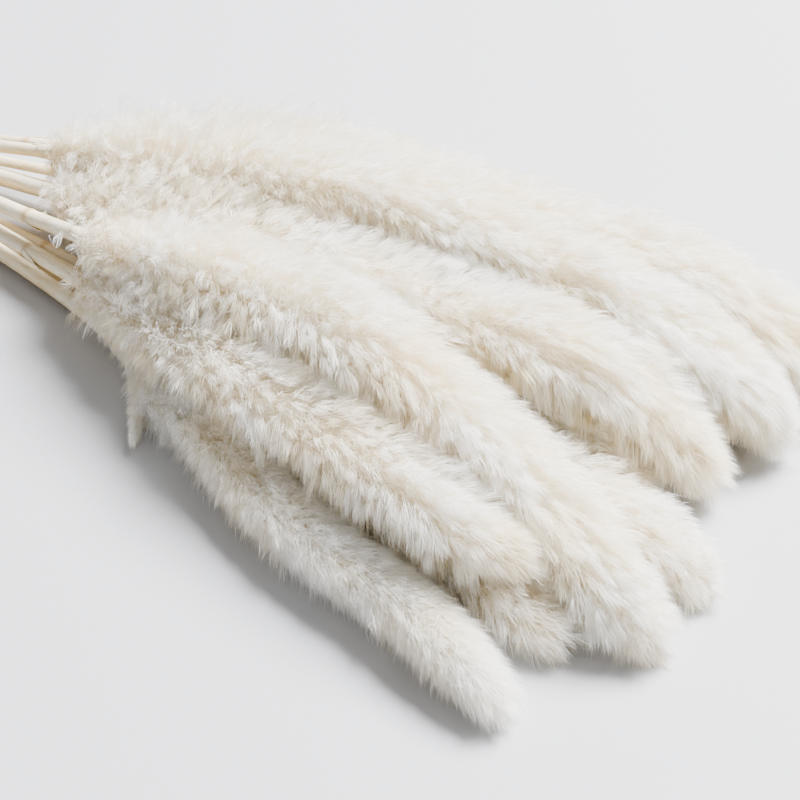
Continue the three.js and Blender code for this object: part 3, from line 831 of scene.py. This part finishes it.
def build_down(head, material):
    """The short hairs under the tufts."""
    rng = rng_for("down" + head.number)
    count = head.hair_count(DOWN_HAIRS)
    s = head.base + rng.uniform(0, 1, count) * (head.length - DOWN_SHORT)
    turn = rng.uniform(0, WHOLE_TURN, count)
    root_out = head.radius(s) * rng.uniform(*DOWN_ROOTS, count)
    reach = rng.uniform(*DOWN_REACH, count)
    tip_out = head.radius(s) * rng.uniform(*DOWN_TIPS, count)
    root = head.line.at(s, turn, root_out)
    bend_turn, tip_turn = (turn + rng.normal(0, spread, count) for spread in DOWN_TURNS)
    bend_out = mixed((root_out, tip_out), DOWN_BEND["out"])
    middle = head.line.at(s + reach * DOWN_BEND["along"], bend_turn, bend_out)
    tip = head.line.at(s + reach, tip_turn, tip_out)
    width = HAIR_WIDTH * rng.uniform(*DOWN_WIDTHS, count)
    low, high = root_out / head.outside(s), tip_out / head.outside(s)
    # painted light: the tone is whiter on the plume's upper side and more golden underneath
    tone_and_painted_light = np.clip(head.bleach_and_painted_light + TOP_PAINTED_LIGHT * np.sin(turn) + rng.normal(0, DOWN_TONES, count), 0, 1)
    values = {"depth": (low, (low + high) / 2, high), "tone_and_painted_light": (tone_and_painted_light, tone_and_painted_light, tone_and_painted_light)}
    obj = ribbons("down_" + head.number, (root, middle, tip), width, values, material, rng)
    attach(obj, "root")


def build_core(head, start_radius, material):
    """The dense middle of the plume, bumpy with husks, that the hairs stand on."""
    rng = rng_for("core" + head.number)
    s = np.arange(head.base, head.end - CORE_SHORT, CORE_STEP)
    out = CORE * head.radius(s)[:, None] * rng.uniform(*CORE_ROUGH, (len(s), CORE_SIDES))
    out[0] = start_radius
    out[-1] *= CORE_POINT
    obj = ring_bodies("core_" + head.number, [tube(head.line, s, out, CORE_SIDES)], material)
    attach(obj, "root")


def build_silk(head, material):
    """The silky hairs of the tufts."""
    rng = rng_for("silk" + head.number)
    root, tip, (low, high, painted_light_and_base_tint) = tufts_of(head, rng)
    count = len(root)
    per = max(TUFT_HAIRS_LEAST, head.hair_count(TUFT_HAIRS) // count)
    each = (count, per, 1)
    length = np.linalg.norm(tip - root, axis=1)[:, None, None]
    ahead = unit(tip - root)[:, None]
    from_root = rng.uniform(*TUFT_HAIR_START, each)
    own = (1 - from_root) * rng.uniform(*TUFT_HAIR_LENGTHS, each) * length
    own += TUFT_HAIR_MORE * head.scale
    fan = unit(np.cross(ahead, rng.normal(size=(count, per, 3))))
    spread = rng.uniform(*TUFT_SPREAD, each)
    wisp = rng.random(each) < TUFT_WISPS["share"]
    spread += np.where(wisp, rng.uniform(*TUFT_WISPS["more"], each), 0)
    start = root[:, None] + ahead * from_root * length + fan * TUFT_THICK
    bulge = start + ahead * own / 2 + fan * spread * own * TUFT_BULGE
    end = start + ahead * own + fan * spread * own * rng.uniform(*TUFT_CLOSE, each)
    end[..., 2:] -= TUFT_WEIGHT * own
    hairs = [points.reshape(-1, 3) for points in (start, bulge, end)]
    # painted light: the tone is whiter on the plume's upper side and more golden underneath
    tone_and_painted_light = head.bleach_and_painted_light + TOP_PAINTED_LIGHT * painted_light_and_base_tint + rng.normal(0, TUFT_TONES, (count, 1))
    tone_and_painted_light = np.clip(tone_and_painted_light + rng.normal(0, HAIR_TONES, (count, per)), 0, 1).ravel()
    shares = [mixed((from_root[..., 0], 1), along) for along in (0, 0.5, 1)]
    depths = [mixed((low, high), share).ravel() for share in shares]
    values = {"depth": depths, "tone_and_painted_light": (tone_and_painted_light, tone_and_painted_light, tone_and_painted_light)}
    width = HAIR_WIDTH * rng.uniform(*TUFT_HAIR_WIDTHS, len(tone_and_painted_light))
    obj = ribbons("silk_" + head.number, hairs, width, values, material, rng)
    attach(obj, "root")
    return obj


def build_plume(culm, silk, husk):
    """A plume's dense middle, its short hairs and its tufts, which replace the CAD plume."""
    build_core(culm.head, culm.radius * CORE_FOOT, husk)
    build_down(culm.head, silk)
    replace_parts(build_silk(culm.head, silk), culm.plume_node)


def strands_along(points, up):
    """The rings of the twisted strands of twine along a middle line."""
    line = Line(points, up)
    s = np.arange(0, line.length, TWIST_STEP)
    bodies = []
    for k in range(STRANDS):
        turn = WHOLE_TURN * (k / STRANDS + s / TWIST)
        strand = Line(line.at(s, turn, TWINE / 2 - STRAND), up)
        along = np.arange(0, strand.length, STRAND_STEP)
        bodies.append(tube(strand, along, STRAND, STRAND_SIDES))
    return bodies


def loop_round(culms, x):
    """Points of the twine's middle line once round all the stems at x, from underneath."""
    middles = np.array([c.line.p[np.abs(c.line.p[:, 0] - x).argmin()] for c in culms])
    radii = np.array([c.radius + JOINT_SWELL for c in culms])
    angles = np.linspace(0, WHOLE_TURN, LOOP_ANGLES, endpoint=False) - WHOLE_TURN / 4
    out = np.stack([np.zeros(LOOP_ANGLES), np.cos(angles), np.sin(angles)], 1)
    reach = middles @ out.T + radii[:, None]
    furthest = reach.argmax(0)
    points = middles[furthest] + out * (radii[furthest] + SEAT_GAP + TWINE / 2)[:, None]
    closed = np.vstack([points, points[:1]])
    along = distances_along(closed)
    return resampled(np.linspace(0, along[-1], LOOP_POINTS, endpoint=False), along, closed)


def knot_at(middle):
    """Points of an overhand knot, a trefoil, round a middle."""
    t = np.linspace(0, WHOLE_TURN, KNOT_POINTS)
    x = (np.sin(t) + 2 * np.sin(2 * t)) / 3
    y = (np.cos(t) - 2 * np.cos(2 * t)) / 3
    return middle + np.stack([x, y, -np.sin(3 * t)], 1) * KNOT


def build_tie(culms, material):
    """Turns of twisted twine round the stems, knotted on top, with two loose, frayed ends."""
    rng = rng_for("tie")
    middle = np.median(corners_of("tie")[:, 0])
    loop = loop_round(culms, middle)
    path = np.vstack([loop] * TIE_TURNS)
    path[:, 0] = middle + TIE_PITCH * (np.linspace(0, TIE_TURNS, len(path)) - TIE_TURNS / 2)
    path[:, 2] = np.maximum(path[:, 2], TWINE / 2 + FLOOR_GAP)
    top = loop[loop[:, 2].argmax()] + [0, 0, TWINE]
    bodies = strands_along(path, TWINE_UP) + strands_along(knot_at(top), KNOT_UP)
    ends = []
    for spread in (-LOOSE_SPREAD, LOOSE_SPREAD):
        points = top + np.array(LOOSE_ROUTE) * [-LOOSE_END, spread, KNOT[2]]
        bodies += strands_along(points, (0, 0, 1))
        ends.append((points[-1], unit(points[-1] - points[-2])))
    obj = ring_bodies("twine", bodies, material)
    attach(obj, "root")
    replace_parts(obj, "tie")
    build_fray(path, ends, material, rng)


def build_fray(path, ends, material, rng):
    """Loose fibres along the twine and at its two ends."""
    place = path[rng.integers(0, len(path), FRAY_COUNT)]
    place = place + rng.normal(0, FRAY_PLACE, (FRAY_COUNT, 3))
    lift = unit(rng.normal(size=(FRAY_COUNT, 3)))
    run = unit(rng.normal(size=(FRAY_COUNT, 3)) + lift) * rng.uniform(*FRAY_LENGTHS, (FRAY_COUNT, 1))
    roots, steps = [place + lift * TWINE * FRAY_OUT], [run]
    for end, ahead in ends:
        roots.append(end + rng.normal(0, BRUSH_PLACE, (BRUSH_COUNT, 3)))
        lean = unit(ahead + BRUSH_SPREAD * rng.normal(size=(BRUSH_COUNT, 3)))
        steps.append(lean * rng.uniform(*BRUSH_LENGTHS, (BRUSH_COUNT, 1)))
    root, step = np.vstack(roots), np.vstack(steps)
    bend = unit(np.cross(step, rng.normal(size=step.shape)))
    bend *= FRAY_BEND * np.linalg.norm(step, axis=1)[:, None]
    hairs = (root, root + step / 2 + bend, root + step)
    width = HAIR_WIDTH * rng.uniform(*FRAY_WIDTHS, len(root))
    obj = ribbons("fray", hairs, width, {}, material, rng)
    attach(obj, "root")


def build_floor():
    bpy.ops.mesh.primitive_plane_add(size=FLOOR_SIZE, location=(0, 0, 0))
    floor = bpy.context.object
    floor.name = "floor"
    floor.data.materials.append(floor_material())


def build_lights():
    """A large soft light on the photograph's right, and a pale sky."""
    right = Vector((math.cos(CAMERA_AZIMUTH), math.sin(CAMERA_AZIMUTH), 0))
    away = Vector((-math.sin(CAMERA_AZIMUTH), math.cos(CAMERA_AZIMUTH), 0))
    offset = KEY_FROM["right"] * right + KEY_FROM["away"] * away
    offset += KEY_FROM["up"] * Vector((0, 0, 1))
    data = bpy.data.lights.new("key", "AREA")
    data.shape = "DISK"
    data.size = KEY_SIZE
    data.energy = KEY_POWER
    data.color = KEY_COLOUR
    lamp = bpy.data.objects.new("key", data)
    lamp.location = LIGHT_AIM + offset
    lamp.rotation_euler = (-offset).to_track_quat("-Z", "Y").to_euler()
    bpy.context.scene.collection.objects.link(lamp)
    world = bpy.data.worlds.new("studio")
    world.use_nodes = True
    sky = world.node_tree.nodes["Background"]
    sky.inputs["Color"].default_value = (*SKY_COLOUR, 1)
    sky.inputs["Strength"].default_value = SKY
    bpy.context.scene.world = world


def build_camera():
    data = bpy.data.cameras.new("camera")
    data.lens = CAMERA_LENS
    data.sensor_width = CAMERA_SENSOR
    data.clip_start = CAMERA_NEAREST
    camera = bpy.data.objects.new("camera", data)
    camera.location = CAMERA_AT
    camera.rotation_euler = (math.pi / 2 - CAMERA_DOWN, 0, CAMERA_AZIMUTH)
    bpy.context.scene.collection.objects.link(camera)
    bpy.context.scene.camera = camera


def main():
    silk = silk_material()
    cane = cane_material()
    husk = husk_material()
    culms = [Culm(n + 1) for n in range(CULM_COUNT)]
    for culm in culms:
        build_stem(culm, cane)
        build_sheaths(culm, husk)
        build_plume(culm, silk, husk)
    build_silk(culms[FRONT - 1].side_tuft(), silk)
    build_tie(culms, twine_material())
    build_floor()
    build_lights()
    build_camera()


main()
